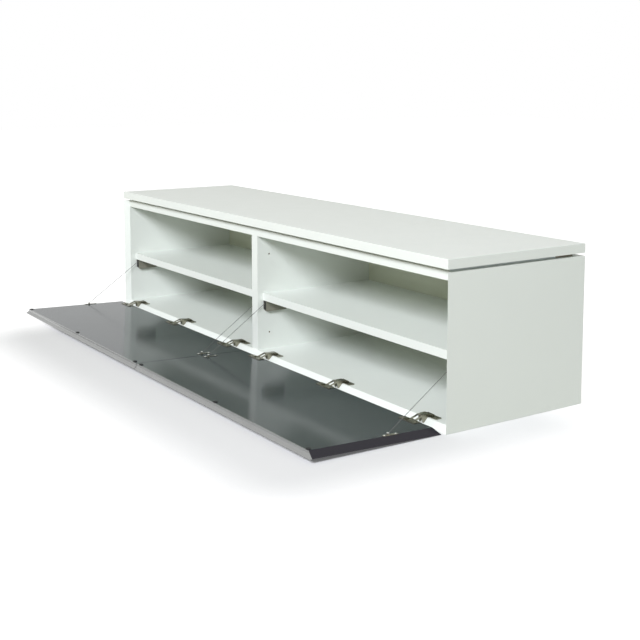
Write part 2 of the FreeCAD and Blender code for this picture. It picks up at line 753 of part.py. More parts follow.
def make_link(index, name, sign):
    """Make the forked link between the flap's leaf and the knee, its ears beside the arm."""
    place = hinge_place(index, sign)
    tag = "%s%s" % (name, HINGES[index])
    left = place + " - @link_width / 2"
    bar = new_body("LinkBar" + tag)
    side = sketch_on(bar, "YZ_Plane", left)
    half = "@link_height / 2"
    outline(side, [along_link("0", "-" + half), along_link("@link_reach", "-" + half),
                   along_link("@link_reach", half), along_link("0", half)])
    pad(bar, side, "@link_width")
    ends = (("@link_pivot_y", "@link_pivot_z"), ("@knee_y", "@knee_height"))
    eyes = [rod("LinkEye" + tag, "X", (left, y, z), "@link_width", "@link_height") for y, z in ends]
    slot = new_body("LinkSlot" + tag)
    gap = sketch_on(slot, "YZ_Plane", place + " - @link_inside / 2")
    beyond = "@link_reach + @link_height"
    outline(gap, [along_link("@link_block", "-@link_height"), along_link(beyond, "-@link_height"),
                  along_link(beyond, "@link_height"), along_link("@link_block", "@link_height")])
    pad(slot, gap, "@link_inside")
    bore = rod("LinkBore" + tag, "X", (left, "@link_pivot_y", "@link_pivot_z"), "@link_width",
               "@pin_diameter + @pin_clearance")
    return drilled("Link" + tag, joined("LinkSolid" + tag, [bar] + eyes), [slot, bore])


def make_leaf(index, name, sign):
    """Make the plate screwed to the flap, with two cheeks let into the flap's recess."""
    place = hinge_place(index, sign)
    body = new_body("Leaf%s%s" % (name, HINGES[index]))
    face = sketch_on(body, "XZ_Plane", "-@flap_thickness - @leaf_thickness")
    left, right = [place + " %s @leaf_length / 2" % side for side in ("-", "+")]
    mouth_left, mouth_right = [place + " %s @leaf_mouth / 2" % side for side in ("-", "+")]
    outline(face, [
        (left, "@leaf_low"), (mouth_left, "@leaf_low"),
        (mouth_left, "@leaf_high - @leaf_strip"), (mouth_right, "@leaf_high - @leaf_strip"),
        (mouth_right, "@leaf_low"), (right, "@leaf_low"),
        (right, "@leaf_high - @leaf_corner"), (right + " - @leaf_corner", "@leaf_high"),
        (left + " + @leaf_corner", "@leaf_high"), (left, "@leaf_high - @leaf_corner"),
    ])
    pad(body, face, "@leaf_thickness")
    for start in (mouth_left + " - @leaf_cheek", mouth_right):
        cheek = sketch_on(body, "YZ_Plane", start)
        outline(cheek, [
            ("@flap_thickness + @leaf_thickness", "@leaf_low"),
            ("@flap_thickness - @leaf_cheek_step", "@leaf_low"),
            ("@flap_thickness - @leaf_cheek_depth", "@leaf_low + @leaf_cheek_slope"),
            ("@flap_thickness - @leaf_cheek_depth", "@recess_high - @leaf_cheek_rear"),
            ("@flap_thickness + @leaf_thickness", "@recess_high - @leaf_cheek_rear"),
        ])
        pad(body, cheek, "@leaf_cheek")
    pivot = sketch_on(body, "YZ_Plane")
    circle(pivot, "@leaf_pivot_y", "@leaf_pivot_z", "@pin_diameter")
    pocket(body, pivot)
    screws = sketch_on(body, "XZ_Plane", "-@flap_thickness - @leaf_thickness")
    for side in ("-", "+"):
        circle(screws, "%s %s @screw_spacing / 2" % (place, side), "@leaf_low + @leaf_width / 2",
               "@screw_hole_diameter")
    pocket(body, screws, "@leaf_thickness", reverse=True)
    return body


def make_hinge_pins(name, sign):
    """Make the three rows of pivot pins of one flap's hinges."""
    pivots, knees, leaves = [], [], []
    for index in range(len(HINGES)):
        place = hinge_place(index, sign)
        pivots.append(rod("PivotPin", "X", (place + " - @bracket_width / 2", "@arm_pivot_setback",
                                            "@arm_pivot_height"), "@bracket_width", "@pin_diameter"))
        knees.append(rod("KneePin", "X", (place + " - @arm_width / 2", "@knee_y", "@knee_height"),
                         "@arm_width", "@pin_diameter"))
        leaves.append(rod("LeafPin", "X", (place + " - @leaf_throat / 2", "@leaf_pivot_y",
                                           "@leaf_pivot_z"), "@leaf_throat", "@pin_diameter"))
    register(grouped("PivotPins" + name, pivots), "hinge_pivot_pins_" + name)
    register(grouped("KneePins" + name, knees), "hinge_knee_pins_" + name)
    register(grouped("LeafPins" + name, leaves), "hinge_leaf_pins_" + name, swings=True)


def make_hinges(name, sign):
    """Make the three hinges of one flap, grouped by the body that carries them."""
    every = range(len(HINGES))
    plates = [make_mounting_plate(index, name, sign) for index in every]
    brackets = [make_bracket(index, name, sign) for index in every]
    arms = [make_swing_arm(index, name, sign) for index in every]
    links = [make_link(index, name, sign) for index in every]
    leaves = [make_leaf(index, name, sign) for index in every]
    register(grouped("HingePlates" + name, plates), "hinge_plates_" + name)
    register(grouped("HingeBrackets" + name, brackets), "hinge_brackets_" + name)
    register(grouped("HingeArms" + name, arms), "hinge_arms_" + name)
    register(grouped("HingeLinks" + name, links), "hinge_links_" + name)
    register(grouped("HingeLeaves" + name, leaves), "hinge_leaves_" + name, swings=True)
    make_hinge_pins(name, sign)


def make_stay_housing(name, sign, where, centre):
    """Make one wire reel housing under a shelf, its lower corner rounded, with its black front."""
    tag = name + where
    left = signed(sign, centre) + " - @stay_width / 2"
    low = "@shelf_underside - @stay_height"
    seam = "@stay_setback + @stay_front_depth"
    body = new_body("StayHousing" + tag)
    sketch = sketch_on(body, "YZ_Plane", left)
    outline(sketch, rectangle(seam, "@stay_setback + @stay_depth", low, "@shelf_underside"))
    block = pad(body, sketch, "@stay_width")
    doc.recompute()
    nose = block.Shape.BoundBox
    rounded(body, block, lambda edge: edge.YMax < nose.YMin + 1 and edge.ZMax < nose.ZMin + 1,
            "@stay_corner_radius")
    register(body, "stay_housing_%s_%s" % (name, where))
    front = new_body("StayFront" + tag)
    profile = sketch_on(front, "YZ_Plane", left)
    outline(profile, rectangle("@stay_setback", seam, low + " + @stay_corner_radius",
                               "@shelf_underside"))
    pad(front, profile, "@stay_width")
    register(front, "stay_front_%s_%s" % (name, where))


def make_stay_fittings(name, sign):
    """Make the two plates on the flap, each with a post that holds a wire's end."""
    posts = []
    for centre in ("@stay_inner", "@stay_outer"):
        across = signed(sign, centre)
        base = box("FittingBase", (across + " - @fitting_width / 2", "@flap_thickness",
                                   "@fitting_height + @fitting_beyond - @fitting_length"),
                   ("@fitting_width", "@fitting_base", "@fitting_length"))
        post = rod("FittingPost", "Y", (across, "@flap_thickness + @fitting_base", "@fitting_height"),
                   "@fitting_post_height", "@fitting_post_diameter")
        posts.append(joined("Fitting", [base, post]))
    register(grouped("StayFittings" + name, posts), "stay_fittings_" + name, swings=True)


def make_stay_wire(name, sign, where, centre):
    """Make a taut stay wire from the front of its housing to the post on the flap."""
    across = sign * sheet.get(centre)
    start = Vector(across, sheet.stay_setback, sheet.wire_exit_z)
    end = Vector(across, sheet.wire_end_y, sheet.wire_end_z)
    run = end - start
    free = run.Length - sheet.fitting_post_diameter / 2 - 2 * sheet.wire_diameter
    along = Vector(run).normalize()
    wire = doc.addObject("Part::Feature", "StayWire" + name + where)
    wire.Shape = Part.makeCylinder(sheet.wire_diameter / 2, free, start + along * sheet.wire_diameter, along)
    register(wire, "stay_wire_%s_%s" % (name, where))


def make_console():
    """Make every piece of the console."""
    make_top_panel()
    make_spacers()
    make_lid()
    make_divider()
    make_bottom_panel()
    make_carcass_dowels()
    for name, sign in HANDS:
        make_side_panel(name, sign)
        make_shelf(name, sign)
        make_shelf_dowels(name, sign)
        make_back_panel(name, sign)
        make_hanging_rail(name, sign)
        make_flap_panel(name, sign)
        make_handle_strip(name, sign)
        make_bumpers(name, sign)
        make_hinges(name, sign)
        make_stay_fittings(name, sign)
        for where in ("inner", "outer"):
            make_stay_housing(name, sign, where, "@stay_" + where)
            make_stay_wire(name, sign, where, "stay_" + where)


def check_and_export():
    """Stop on any failed feature or bad solid, then write one STEP file a piece."""
    doc.recompute()
    for item in doc.Objects:
        if "Invalid" in item.State or "Error" in item.State:
            raise RuntimeError("%s failed: %s" % (item.Name, item.State))
    os.makedirs("parts", exist_ok=True)
    for item in nodes:
        if item.Shape.isNull() or not item.Shape.isValid():
            raise RuntimeError("%s has no valid shape" % item.Label)
        item.Shape.exportStep("parts/%s.step" % item.Label)


fill_sheet()
make_console()
check_and_export()
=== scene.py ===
"""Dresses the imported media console: finishes, hardware, wires, camera and soft studio light."""

import json
import logging
import math
from dataclasses import dataclass, replace
from enum import Enum
from typing import Iterable, Optional, Union

import bmesh
import bpy
from mathutils import Matrix, Vector


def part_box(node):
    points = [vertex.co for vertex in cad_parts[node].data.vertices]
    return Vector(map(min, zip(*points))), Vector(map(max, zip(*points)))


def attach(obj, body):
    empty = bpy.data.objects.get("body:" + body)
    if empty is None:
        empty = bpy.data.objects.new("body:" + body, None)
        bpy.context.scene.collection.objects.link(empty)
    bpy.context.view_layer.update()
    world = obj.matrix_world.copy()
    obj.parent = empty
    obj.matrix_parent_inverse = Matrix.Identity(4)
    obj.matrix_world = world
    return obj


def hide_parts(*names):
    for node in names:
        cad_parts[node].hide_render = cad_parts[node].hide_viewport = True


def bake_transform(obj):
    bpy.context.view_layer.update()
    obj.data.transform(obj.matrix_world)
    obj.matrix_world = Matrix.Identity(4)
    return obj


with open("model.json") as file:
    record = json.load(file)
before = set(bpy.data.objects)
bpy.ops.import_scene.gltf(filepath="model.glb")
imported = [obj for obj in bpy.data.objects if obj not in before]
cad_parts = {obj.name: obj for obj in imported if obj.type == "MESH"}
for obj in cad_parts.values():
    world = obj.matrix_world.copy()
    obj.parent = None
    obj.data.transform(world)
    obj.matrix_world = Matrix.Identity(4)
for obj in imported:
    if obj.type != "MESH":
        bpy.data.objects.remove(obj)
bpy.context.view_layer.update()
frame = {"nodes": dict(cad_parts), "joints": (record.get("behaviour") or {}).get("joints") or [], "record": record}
LOG = logging.getLogger("media_console")

MM = 0.001
QUARTER_TURN = math.pi / 2
FULL_TURN = 2 * math.pi
SMOOTH_BELOW = math.radians(35.0)
ORIGIN = (0.0, 0.0, 0.0)
UP = (0.0, 0.0, 1.0)

Triple = tuple[float, float, float]
Socket = bpy.types.NodeSocket
Node = bpy.types.Node
Tree = bpy.types.NodeTree
Mesh = bmesh.types.BMesh


class Hand(Enum):
    """Which half of the console a piece belongs to."""

    LEFT = "left"
    RIGHT = "right"


class Where(Enum):
    """At which end of its half a stay stands."""

    INNER = "inner"
    OUTER = "outer"


class NodeSheet:
    """A material, group or world being wired, with short calls for nodes and links.

    A Mix node has sockets for every kind of data, so its colours are found by number.
    """

    MIX_UNDER = 6
    MIX_OVER = 7
    MIX_RESULT = 2

    def __init__(self, tree: Tree) -> None:
        """Starts an empty sheet on a node tree."""
        self.tree = tree
        tree.nodes.clear()

    def add(self, kind: str, values: Optional[dict] = None, **settings: object) -> Node:
        """Adds a node.

        Args:
            kind: The node's type name without the ShaderNode prefix.
            values: Input values by socket name or number.
            **settings: Properties to set on the node.

        Returns:
            The new node.
        """
        prefix = "" if kind.startswith("NodeGroup") else "ShaderNode"
        node = self.tree.nodes.new(prefix + kind)
        for name, setting in settings.items():
            setattr(node, name, setting)
        for name, value in (values or {}).items():
            node.inputs[name].default_value = value
        return node

    def join(self, source: Socket, target: Socket) -> None:
        """Links one socket to another."""
        self.tree.links.new(source, target)

    def step(self, kind: str, source: Socket, values: Optional[dict] = None,
             **settings: object) -> Node:
        """Adds a node whose first input is fed by a socket.

        Args:
            kind: The node's type name without the ShaderNode prefix.
            source: The socket that feeds it.
            values: Input values by socket name or number.
            **settings: Properties to set on the node.

        Returns:
            The new node.
        """
        node = self.add(kind, values, **settings)
        self.join(source, node.inputs[0])
        return node

    def group(self, tree: Tree, **values: object) -> Node:
        """Adds a shared group with its input values by socket name."""
        return self.add("Group", values, node_tree=tree)

    def place(self) -> Socket:
        """Returns the place on the object that is being shaded."""
        return self.add("TexCoord").outputs["Object"]

    def mix(self, share: Socket, under: Union[Socket, Triple], over: Union[Socket, Triple]) -> Socket:
        """Mixes two colours.

        Args:
            share: How much of the upper colour shows, from 0 to 1.
            under: The lower colour, fixed or from a socket.
            over: The upper colour, fixed or from a socket.

        Returns:
            The mixed colour.
        """
        node = self.add("Mix", data_type="RGBA")
        self.join(share, node.inputs["Factor"])
        for number, colour in ((self.MIX_UNDER, under), (self.MIX_OVER, over)):
            if isinstance(colour, tuple):
                node.inputs[number].default_value = (*colour, 1.0)
            else:
                self.join(colour, node.inputs[number])
        return node.outputs[self.MIX_RESULT]

    def eye_rays(self) -> Socket:
        """Marks the rays that carry what is seen, straight or by way of gloss and glass.

        Returns:
            A socket that is 1 for those rays and 0 for the rest.
        """
        rays = self.add("LightPath")
        seen = rays.outputs["Is Camera Ray"]
        for kind in ("Is Glossy Ray", "Is Transmission Ray"):
            either = self.step("Math", seen, operation="MAXIMUM")
            self.join(rays.outputs[kind], either.inputs[1])
            seen = either.outputs[0]
        return seen


class SharedPatterns:
    """The node groups that several finishes share."""

    NUMBER = "NodeSocketFloat"
    VECTOR = "NodeSocketVector"
    MIDDLE = 0.5

    def __init__(self) -> None:
        """Builds the groups once."""
        self.mottle = self._make_mottle()
        self.relief = self._make_relief()
        self.brushing = self._make_brushing()
        self.end_band = self._make_end_band()

    def _open(self, name: str, inputs: dict[str, float],
              outputs: dict[str, str]) -> tuple[NodeSheet, Node, Node]:
        """Starts a group.

        Args:
            name: The group's name.
            inputs: Default number of each input, by name.
            outputs: Socket kind of each output, by name.

        Returns:
            The sheet, the input node and the output node.
        """
        tree = bpy.data.node_groups.new(name, "ShaderNodeTree")
        for label, value in inputs.items():
            socket = tree.interface.new_socket(label, in_out="INPUT", socket_type=self.NUMBER)
            socket.default_value = value
        for label, kind in outputs.items():
            tree.interface.new_socket(label, in_out="OUTPUT", socket_type=kind)
        sheet = NodeSheet(tree)
        return sheet, sheet.add("NodeGroupInput"), sheet.add("NodeGroupOutput")

    def _make_mottle(self) -> Tree:
        """Makes a soft cloudy factor between 0 and 1.

        Returns:
            The group.
        """
        sheet, given, result = self._open(
            "mottle", {"Scale": 6.0, "Contrast": 1.0}, {"Factor": self.NUMBER})
        cloud = sheet.step("TexNoise", sheet.place(), {"Detail": 5.0, "Roughness": 0.62})
        centred = sheet.step("Math", cloud.outputs["Fac"], {1: self.MIDDLE}, operation="SUBTRACT")
        spread = sheet.step("Math", centred.outputs[0], {2: self.MIDDLE},
                            operation="MULTIPLY_ADD", use_clamp=True)
        sheet.join(given.outputs["Scale"], cloud.inputs["Scale"])
        sheet.join(given.outputs["Contrast"], spread.inputs[1])
        sheet.join(spread.outputs[0], result.inputs["Factor"])
        return sheet.tree

    def _make_relief(self) -> Tree:
        """Makes the fine waviness of sprayed lacquer or moulded plastic as a normal.

        Returns:
            The group.
        """
        sheet, given, result = self._open(
            "relief", {"Scale": 300.0, "Depth": 0.00002}, {"Normal": self.VECTOR})
        peel = sheet.step("TexNoise", sheet.place(), {"Detail": 2.0})
        bump = sheet.add("Bump")
        sheet.join(given.outputs["Scale"], peel.inputs["Scale"])
        sheet.join(peel.outputs["Fac"], bump.inputs["Height"])
        sheet.join(given.outputs["Depth"], bump.inputs["Distance"])
        sheet.join(bump.outputs["Normal"], result.inputs["Normal"])
        return sheet.tree

    def _make_brushing(self) -> Tree:
        """Makes long fine scratches along the console, as a factor and as a normal.

        Returns:
            The group.
        """
        sheet, given, result = self._open(
            "brushing", {"Across": 900.0, "Along": 8.0, "Depth": 0.00001},
            {"Factor": self.NUMBER, "Normal": self.VECTOR})
        stretch = sheet.step("CombineXYZ", given.outputs["Along"])
        scaled = sheet.step("VectorMath", sheet.place(), operation="MULTIPLY")
        lines = sheet.step("TexNoise", scaled.outputs[0], {"Scale": 1.0, "Detail": 3.0})
        bump = sheet.add("Bump")
        sheet.join(given.outputs["Across"], stretch.inputs["Y"])
        sheet.join(given.outputs["Across"], stretch.inputs["Z"])
        sheet.join(stretch.outputs[0], scaled.inputs[1])
        sheet.join(lines.outputs["Fac"], bump.inputs["Height"])
        sheet.join(given.outputs["Depth"], bump.inputs["Distance"])
        sheet.join(lines.outputs["Fac"], result.inputs["Factor"])
        sheet.join(bump.outputs["Normal"], result.inputs["Normal"])
        return sheet.tree

    def _make_end_band(self) -> Tree:
        """Makes a mask that is 1 beyond a distance from the middle of the console's length, where an end shade is
        painted.

        Returns:
            The group.
        """
        sheet, given, result = self._open("end_band", {"Reach": 1.0}, {"Mask": self.NUMBER})
        parts = sheet.step("SeparateXYZ", sheet.place())
        far = sheet.step("Math", parts.outputs["X"], operation="ABSOLUTE")
        beyond = sheet.step("Math", far.outputs[0], operation="GREATER_THAN")
        sheet.join(given.outputs["Reach"], beyond.inputs[1])
        sheet.join(beyond.outputs[0], result.inputs["Mask"])
        return sheet.tree


PATTERNS = SharedPatterns()


@dataclass(frozen=True)
class Finish:
    """A surface finish: two tones that drift into each other, gloss and fine relief.

    The end tone, painted shade on the flaps' mitred end faces, covers what lies beyond the end
    reach, in metres from the console's middle. A finish that is no slot of its own names the slot
    it is listed under.
    """

    name: str
    tone: Triple
    drift: Triple
    roughness: float
    roughness_spread: float = 0.06
    metallic: float = 0.0
    ior: float = 1.5
    cloud_scale: float = 5.0
    cloud_contrast: float = 1.6
    gloss_cloud_ratio: float = 4.0
    gloss_cloud_contrast: float = 2.0
    relief_scale: float = 350.0
    relief_depth: float = 0.00002
    brushed: bool = False
    painted_end_shade: Optional[Triple] = None
    end_reach: float = 0.8786
    slot: str = ""

    def _tone_nodes(self, sheet: NodeSheet) -> Socket:
        """Mixes the two tones, with the end tone's painted shade over them where the finish has one.

        Args:
            sheet: The material being wired.

        Returns:
            The colour.
        """
        cloud = sheet.group(PATTERNS.mottle, Scale=self.cloud_scale, Contrast=self.cloud_contrast)
        tone = sheet.mix(cloud.outputs["Factor"], self.tone, self.drift)
        if self.painted_end_shade:
            band = sheet.group(PATTERNS.end_band, Reach=self.end_reach)
            tone = sheet.mix(band.outputs["Mask"], tone, self.painted_end_shade)
        return tone

    def _gloss_nodes(self, sheet: NodeSheet, shader: Node) -> None:
        """Varies the roughness and sets the relief.

        Args:
            sheet: The material being wired.
            shader: The material's surface shader.
        """
        if self.brushed:
            pattern = sheet.group(PATTERNS.brushing, Depth=self.relief_depth)
            relief = pattern
        else:
            pattern = sheet.group(PATTERNS.mottle, Scale=self.cloud_scale * self.gloss_cloud_ratio,
                                  Contrast=self.gloss_cloud_contrast)
            relief = sheet.group(PATTERNS.relief, Scale=self.relief_scale, Depth=self.relief_depth)
        span = sheet.step("MapRange", pattern.outputs["Factor"],
                          {"To Min": self.roughness - self.roughness_spread,
                           "To Max": self.roughness + self.roughness_spread})
        sheet.join(span.outputs["Result"], shader.inputs["Roughness"])
        sheet.join(relief.outputs["Normal"], shader.inputs["Normal"])

    def material(self) -> bpy.types.Material:
        """Returns the finish's material, made on the first call.

        Returns:
            The material.
        """
        label = f"{self.name}_finish"
        known = bpy.data.materials.get(label)
        if known is not None:
            return known
        made = bpy.data.materials.new(label)
        made.use_nodes = True
        sheet = NodeSheet(made.node_tree)
        shader = sheet.add("BsdfPrincipled", {"Metallic": self.metallic, "IOR": self.ior})
        output = sheet.add("OutputMaterial")
        sheet.join(self._tone_nodes(sheet), shader.inputs["Base Color"])
        self._gloss_nodes(sheet, shader)
        sheet.join(shader.outputs["BSDF"], output.inputs["Surface"])
        return made


WHITE = Finish("white_lacquer", (0.815, 0.850, 0.812), (0.80, 0.835, 0.795), 0.42,
               relief_scale=420.0, relief_depth=0.00003)
# The back boards' white lacquer, its tone darkened and yellowed as painted shade for the deep, olive-shaded bays.
SHADED_WHITE_BACK = Finish("white_back_board", (0.76, 0.79, 0.65), (0.74, 0.77, 0.63), 0.5,
                    relief_scale=700.0, relief_depth=0.00004)
# The flaps' dark gloss lacquer; its end tone is painted shade that darkens the mitred end faces.
GREY_GLOSS = Finish("grey_gloss_lacquer", (0.055, 0.068, 0.071), (0.048, 0.060, 0.063), 0.13,
                    roughness_spread=0.02, ior=1.33, relief_scale=120.0, relief_depth=0.000004,
                    painted_end_shade=(0.022, 0.020, 0.026))
ALUMINIUM = Finish("anodised_aluminium", (0.38, 0.385, 0.38), (0.31, 0.315, 0.31), 0.24,
                   metallic=0.9, brushed=True, relief_depth=0.000012)
NICKEL = Finish("nickel_steel", (0.40, 0.385, 0.31), (0.20, 0.19, 0.145), 0.28,
                metallic=1.0, cloud_scale=140.0, relief_scale=900.0, relief_depth=0.00001)
# Steel of the stay fittings' screws and post caps: its near-white tone is a painted highlight, standing in for
# lamp glints that mirroring faces no longer get.
GLINT_PAINTED_STEEL = Finish("steel_with_painted_glint", (0.97, 0.97, 0.94), (0.90, 0.90, 0.87), 0.2,
                      metallic=1.0, cloud_scale=200.0, relief_scale=900.0, relief_depth=0.000005,
                      slot="nickel_steel")
STEEL_WIRE = Finish("steel_wire", (0.23, 0.23, 0.225), (0.15, 0.15, 0.15), 0.4,
                    metallic=0.8, cloud_scale=200.0, relief_scale=2500.0, relief_depth=0.00002)
GREY_PLASTIC = Finish("grey_plastic", (0.25, 0.245, 0.20), (0.21, 0.205, 0.165), 0.5,
                      relief_scale=1500.0, relief_depth=0.00003)
BLACK_PLASTIC = Finish("black_plastic", (0.018, 0.018, 0.018), (0.026, 0.026, 0.026), 0.45,
                       relief_scale=1500.0, relief_depth=0.00003)
BLACK_RUBBER = Finish("black_rubber", (0.012, 0.012, 0.012), (0.02, 0.02, 0.02), 0.75,
                      relief_scale=1800.0, relief_depth=0.00004)
RAW_BOARD = Finish("raw_board", (0.32, 0.25, 0.17), (0.26, 0.20, 0.13), 0.85,
                   cloud_scale=160.0, relief_scale=2200.0, relief_depth=0.0001)
BEECH = Finish("beech", (0.62, 0.44, 0.27), (0.54, 0.37, 0.22), 0.6, brushed=True,
               relief_depth=0.0001)
SLOT_FINISHES = {finish.name: finish for finish in (
    WHITE, SHADED_WHITE_BACK, GREY_GLOSS, ALUMINIUM, NICKEL, STEEL_WIRE, GREY_PLASTIC, BLACK_PLASTIC,
    BLACK_RUBBER, RAW_BOARD, BEECH)}


def dress(piece: bpy.types.Object, finish: Finish) -> None:
    """Gives every face of a piece one finish."""
    piece.data.materials.clear()
    piece.data.materials.append(finish.material())


def loose_piece(name: str, mesh: Mesh, finish: Finish) -> bpy.types.Object:
    """Turns a finished mesh into a dressed object that nothing carries yet.

    Args:
        name: The piece's name.
        mesh: The mesh, freed here.
        finish: Its finish.

    Returns:
        The new object.
    """
    bmesh.ops.recalc_face_normals(mesh, faces=mesh.faces)
    for face in mesh.faces:
        face.smooth = True
    for edge in mesh.edges:
        edge.smooth = edge.calc_face_angle(0.0) < SMOOTH_BELOW
    data = bpy.data.meshes.new(name)
    mesh.to_mesh(data)
    mesh.free()
    made = bpy.data.objects.new(name, data)
    bpy.context.scene.collection.objects.link(made)
    dress(made, finish)
    return made


def riding_piece(name: str, mesh: Mesh, finish: Finish, body: str) -> None:
    """Turns a finished mesh into a dressed object that rides on a body.

    Args:
        name: The piece's name.
        mesh: The mesh, freed here.
        finish: Its finish.
        body: The CAD body that carries it.
    """
    made = loose_piece(name, mesh, finish)
    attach(made, body)
    LOG.info("piece %s rides on %s", name, body)


def stamped(pattern: Mesh, places: Iterable[Matrix]) -> Mesh:
    """Repeats one small part at several places.

    Args:
        pattern: The part round the origin, freed here.
        places: Where each copy goes.

    Returns:
        One mesh that holds all the copies.
    """
    unit = bpy.data.meshes.new("pattern")
    pattern.to_mesh(unit)
    pattern.free()
    whole = bmesh.new()
    for place in places:
        before = set(whole.verts)
        whole.from_mesh(unit)
        fresh = [vert for vert in whole.verts if vert not in before]
        bmesh.ops.transform(whole, matrix=place, verts=fresh)
    bpy.data.meshes.remove(unit)
    return whole


def flap_swing() -> Matrix:
    """Works out the turn that opens a shut flap; both flaps share one axis line.

    Returns:
        The turn about the hinge axis.
    """
    hinge = next(joint for joint in frame["joints"] if joint["name"] == "right_flap_hinge")
    axis = Vector(hinge["pos_m"])
    turn = Matrix.Rotation(math.radians(max(hinge["range_deg"])), 4, "X")
    return Matrix.Translation(axis) @ turn @ Matrix.Translation(-axis)


SWING = flap_swing()
FRONT_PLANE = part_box("side_panel_left")[0][1]


def upright(across: float, inward: float, height: float) -> Matrix:
    """Stands a part on the carcass, its own Z pointing up.

    Args:
        across: Place along the console, in millimetres from the middle.
        inward: Place behind the front plane, in millimetres.
        height: Height over the underside, in millimetres.

    Returns:
        The part's place.
    """
    return Matrix.Translation((across * MM, FRONT_PLANE + inward * MM, height * MM))


def on_flap(across: float, inward: float, height: float) -> Matrix:
    """Stands a part on a flap's inner face, its own Z pointing away from the flap.

    Args:
        across: Place along the console, in millimetres from the middle.
        inward: Place behind the shut flap's front face, in millimetres.
        height: Height over the underside while the flap is shut, in millimetres.

    Returns:
        The part's place with the flap open.
    """
    return SWING @ upright(across, inward, height) @ Matrix.Rotation(-QUARTER_TURN, 4, "X")


def sideways(across: float, inward: float, height: float, sign: int) -> Matrix:
    """Lays a part along the console, its own Z pointing to the left or right.

    Args:
        across: Place along the console, in millimetres from the middle.
        inward: Place behind the front plane, in millimetres.
        height: Height over the underside, in millimetres.
        sign: 1 to point right, -1 to point left.

    Returns:
        The part's place.
    """
    return upright(across, inward, height) @ Matrix.Rotation(sign * QUARTER_TURN, 4, "Y")


@dataclass(frozen=True)
class Camera:
    """The viewpoint: where the eye stands, which way it looks, and its lens."""

    eye: Triple = (2.8162, -1.8621, 0.8278)
    right: Triple = (0.557062, 0.830470, 0.000593)
    up: Triple = (-0.098247, 0.065194, 0.993024)
    lens: float = 62.55
    sensor: float = 36.0
    rise: float = -0.1747
    farthest: float = 100.0

    def build(self) -> None:
        """Adds the camera and makes it the scene's own."""
        data = bpy.data.cameras.new("camera")
        data.lens = self.lens
        data.sensor_width = self.sensor
        data.shift_y = self.rise
        data.clip_end = self.farthest
        right = Vector(self.right)
        up = Vector(self.up)
        turn = Matrix((right, up, right.cross(up))).transposed()
        camera = bpy.data.objects.new("camera", data)
        camera.matrix_world = Matrix.Translation(self.eye) @ turn.to_4x4()
        bpy.context.scene.collection.objects.link(camera)
        bpy.context.scene.camera = camera


DAYLIGHT = (0.925, 0.940, 1.0)
SHADE = (0.62, 0.72, 1.0)


@dataclass(frozen=True)
class Softbox:
    """A square lamp aimed at a point; metres and watts."""

    name: str
    place: Triple
    target: Triple
    size: float
    power: float
    tint: Triple

    def hang(self) -> None:
        """Adds the lamp, out of sight of the camera and of mirroring faces."""
        data = bpy.data.lights.new(self.name, "AREA")
        data.size = self.size
        data.energy = self.power
        data.color = self.tint
        lamp = bpy.data.objects.new(self.name, data)
        lamp.visible_camera = False
        lamp.visible_glossy = False
        aim = (Vector(self.target) - Vector(self.place)).to_track_quat("-Z", "Y")
        lamp.matrix_world = Matrix.Translation(self.place) @ aim.to_matrix().to_4x4()
        bpy.context.scene.collection.objects.link(lamp)


